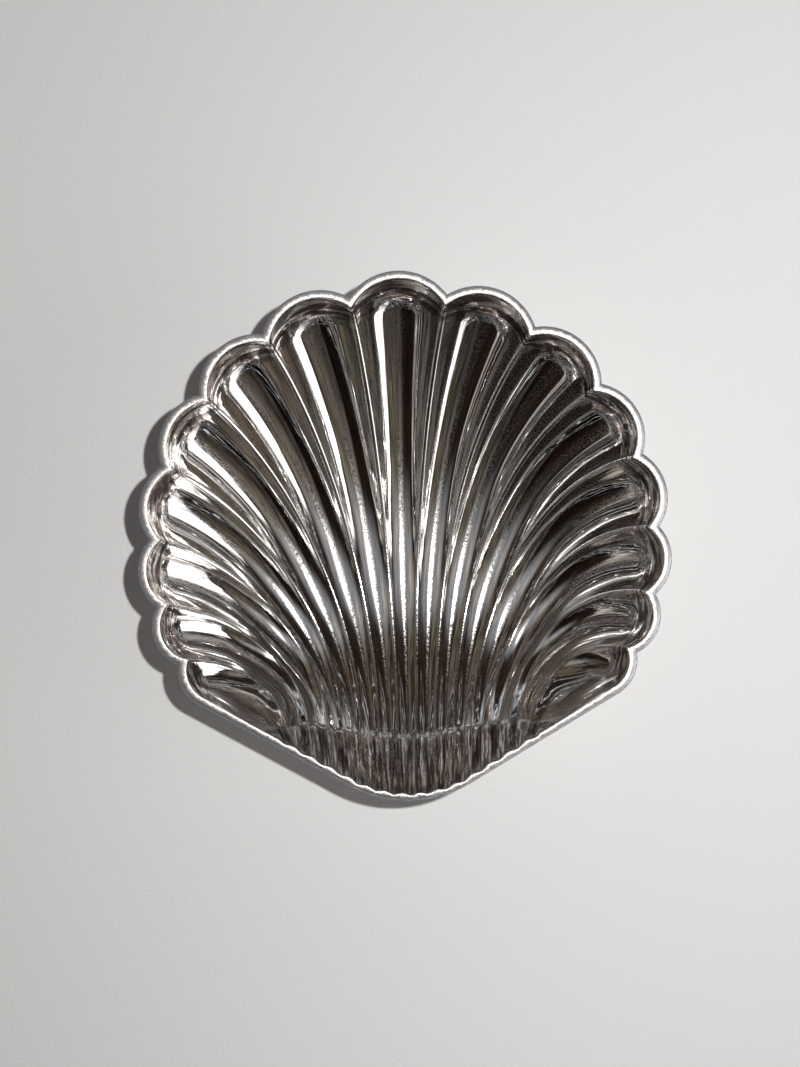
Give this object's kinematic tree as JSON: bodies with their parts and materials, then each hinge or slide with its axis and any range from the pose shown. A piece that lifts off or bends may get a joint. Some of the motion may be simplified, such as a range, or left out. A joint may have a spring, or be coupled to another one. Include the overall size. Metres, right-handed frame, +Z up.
{
  "type": "shell trinket dish",
  "caption": "Scallop-shell trinket dish in polished silver, with a fluted bowl, a lobed rim and straight hinge edges.",
  "frame": {"origin": "centre of the footprint, on the surface that the dish rests on", "axes": "+Z up out of the bowl, +Y from the hinge to the front lobe, +X to the right seen from above"},
  "size_m": [0.1302, 0.1294, 0.0265],
  "materials": {
    "polished_silver": "mirror-polished silver with fine scratches, lightly brushed on the rim band"
  },
  "bodies": {
    "root": {"shell_dish": "polished_silver"}
  },
  "joints": []
}
